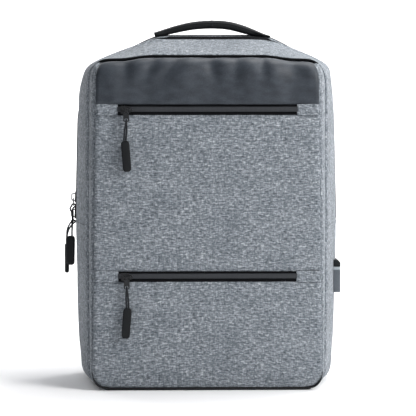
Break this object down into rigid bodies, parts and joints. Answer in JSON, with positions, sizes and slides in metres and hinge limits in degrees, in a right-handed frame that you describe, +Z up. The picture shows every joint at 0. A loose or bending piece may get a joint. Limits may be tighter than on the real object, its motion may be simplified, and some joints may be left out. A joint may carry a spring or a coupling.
{
  "type": "backpack with a charging port",
  "caption": "Laptop backpack in grey cloth with zipped front pockets, carry handle, padded straps and a covered charging port on its side.",
  "frame": {"origin": "centre of the flat base", "axes": "+X to the right seen from the front, +Y from the front to the back panel, +Z up"},
  "size_m": [0.3168, 0.1686, 0.4112],
  "materials": {
    "grey_cloth": "grey melange woven polyester",
    "dark_cloth": "dark slate woven polyester",
    "black_cloth": "black woven polyester and mesh",
    "black_webbing": "black woven tape",
    "zip_tape": "black woven zip tape with nylon coil",
    "pull_cord": "black braided cord",
    "slider_metal": "gunmetal plated zinc",
    "grip_rubber": "soft moulded black plastic",
    "port_plastic": "fine grained black moulding",
    "cover_rubber": "black moulded rubber",
    "socket_steel": "bright rolled steel",
    "socket_insulator": "white moulded insulator"
  },
  "bodies": {
    "bag": {"base_panel": "black_cloth", "base_board": "port_plastic", "lower_gusset": "grey_cloth", "rear_gusset": "grey_cloth", "fold_band": "grey_cloth", "back_panel": "black_cloth", "back_pads": "dark_cloth", "lower_piping": "grey_cloth", "middle_panel_foot": "grey_cloth", "lower_panel": "grey_cloth", "lower_side_strips": "grey_cloth", "lower_divider": "dark_cloth", "pocket_floor": "dark_cloth", "laptop_sleeve": "dark_cloth", "battery_pocket": "dark_cloth", "lower_zip_chain": "zip_tape", "lower_zip_tabs": "grey_cloth", "main_zip_rear_row": "zip_tape", "handle": "black_webbing", "strap_yoke": "black_cloth", "strap_anchors": "black_webbing", "port_housing": "port_plastic", "port_backplate": "port_plastic", "socket_shell": "socket_steel", "socket_tongue": "socket_insulator", "port_screws": "slider_metal", "charging_lead": "cover_rubber", "charging_plug": "port_plastic"},
    "upper_front": {"upper_gusset": "grey_cloth", "upper_piping": "grey_cloth", "top_panel": "dark_cloth", "middle_panel": "grey_cloth", "upper_side_strips": "grey_cloth", "upper_divider": "dark_cloth", "upper_zip_chain": "zip_tape", "upper_zip_tabs": "grey_cloth", "main_zip_front_row": "zip_tape"},
    "upper_pocket_slider": {"upper_pocket_slider": "slider_metal"},
    "upper_pocket_pull": {"upper_pocket_tab": "slider_metal", "upper_pocket_cord": "pull_cord", "upper_pocket_grip": "grip_rubber"},
    "lower_pocket_slider": {"lower_pocket_slider": "slider_metal"},
    "lower_pocket_pull": {"lower_pocket_tab": "slider_metal", "lower_pocket_cord": "pull_cord", "lower_pocket_grip": "grip_rubber"},
    "main_upper_slider": {"main_upper_slider": "slider_metal"},
    "main_upper_pull": {"main_upper_tab": "slider_metal", "main_upper_cord": "pull_cord", "main_upper_grip": "grip_rubber"},
    "main_lower_slider": {"main_lower_slider": "slider_metal"},
    "main_lower_pull": {"main_lower_tab": "slider_metal", "main_lower_cord": "pull_cord", "main_lower_grip": "grip_rubber"},
    "port_cover": {"port_cover": "cover_rubber"},
    "left_strap": {"left_strap_pad": "black_cloth", "left_ladder_lock": "port_plastic", "left_webbing": "black_webbing"},
    "right_strap": {"right_strap_pad": "black_cloth", "right_ladder_lock": "port_plastic", "right_webbing": "black_webbing"}
  },
  "joints": [
    {"name": "main_opening", "type": "hinge", "parent": "bag", "child": "upper_front", "pos_m": [0, 0.037, 0.182], "axis": [1, 0, 0], "range_deg": [0, 25], "deforming": ["fold_band"]},
    {"name": "upper_pocket_slide", "type": "slide", "parent": "upper_front", "child": "upper_pocket_slider", "axis": [1, 0, 0], "range_m": [0, 0.178]},
    {"name": "upper_pocket_pull_swing", "type": "hinge", "parent": "upper_pocket_slider", "child": "upper_pocket_pull", "pos_m": [-0.089, -0.0691, 0.3115], "axis": [-1, 0, 0], "range_deg": [0, 110]},
    {"name": "lower_pocket_slide", "type": "slide", "parent": "bag", "child": "lower_pocket_slider", "axis": [1, 0, 0], "range_m": [0, 0.178]},
    {"name": "lower_pocket_pull_swing", "type": "hinge", "parent": "lower_pocket_slider", "child": "lower_pocket_pull", "pos_m": [-0.089, -0.0691, 0.1273], "axis": [-1, 0, 0], "range_deg": [0, 110]},
    {"name": "main_upper_slide", "type": "slide", "parent": "bag", "child": "main_upper_slider", "axis": [0.0273, 0, 0.9996], "range_m": [0, 0.082]},
    {"name": "main_upper_pull_swing", "type": "hinge", "parent": "main_upper_slider", "child": "main_upper_pull", "pos_m": [-0.15307, 0.037, 0.2069], "axis": [0, 1, 0], "range_deg": [0, 100]},
    {"name": "main_lower_slide", "type": "slide", "parent": "bag", "child": "main_lower_slider", "axis": [0.0273, 0, 0.9996], "range_m": [-0.002, 0]},
    {"name": "main_lower_pull_swing", "type": "hinge", "parent": "main_lower_slider", "child": "main_lower_pull", "pos_m": [-0.15358, 0.037, 0.1883], "axis": [0, 1, 0], "range_deg": [0, 100]},
    {"name": "port_cover_hinge", "type": "hinge", "parent": "bag", "child": "port_cover", "pos_m": [0.15295, 0.008, 0.13125], "axis": [0, 1, 0], "range_deg": [0, 110]},
    {"name": "left_strap_swing", "type": "hinge", "parent": "bag", "child": "left_strap", "pos_m": [-0.062, 0.0773, 0.3615], "axis": [1, 0, 0], "range_deg": [0, 25]},
    {"name": "right_strap_swing", "type": "hinge", "parent": "bag", "child": "right_strap", "pos_m": [0.062, 0.0773, 0.3615], "axis": [1, 0, 0], "range_deg": [0, 25]}
  ]
}
